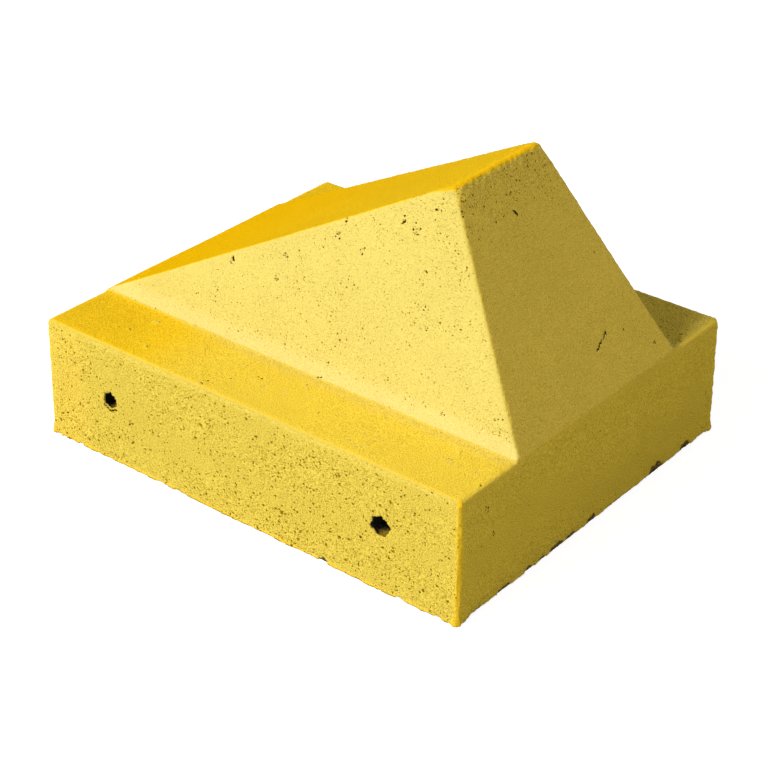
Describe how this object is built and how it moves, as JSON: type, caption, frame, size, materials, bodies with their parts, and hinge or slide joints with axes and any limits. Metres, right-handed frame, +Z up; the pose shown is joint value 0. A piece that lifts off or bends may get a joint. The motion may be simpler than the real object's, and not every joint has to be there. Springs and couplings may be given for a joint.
{
  "type": "flexible lane divider",
  "caption": "Lane divider block of coated rubber granulate: a flat slab with a hipped ridge, and joining pins that link it into a row.",
  "frame": {"origin": "on the road, under the middle of the slab's underside", "axes": "+X towards the steep end of the ridge, +Y along the row towards the joining pins, +Z up"},
  "size_m": [0.48, 0.46, 0.308],
  "materials": {
    "rubber_granulate": "coarse pressed granulate",
    "coat": "sprayed polyurethane, satin, pitted",
    "pin_plastic": "extruded bar, turned ends"
  },
  "bodies": {
    "block": {"rubber_block": "rubber_granulate", "yellow_coat": "coat"},
    "gentle_pin": {"gentle_end_pin": "pin_plastic"},
    "steep_pin": {"steep_end_pin": "pin_plastic"}
  },
  "joints": [
    {"name": "gentle_pin_pull", "type": "slide", "parent": "block", "child": "gentle_pin", "axis": [0, 1, 0], "range_m": [-0.0049, 0.065]},
    {"name": "steep_pin_pull", "type": "slide", "parent": "block", "child": "steep_pin", "axis": [0, 1, 0], "range_m": [-0.0049, 0.065]}
  ]
}
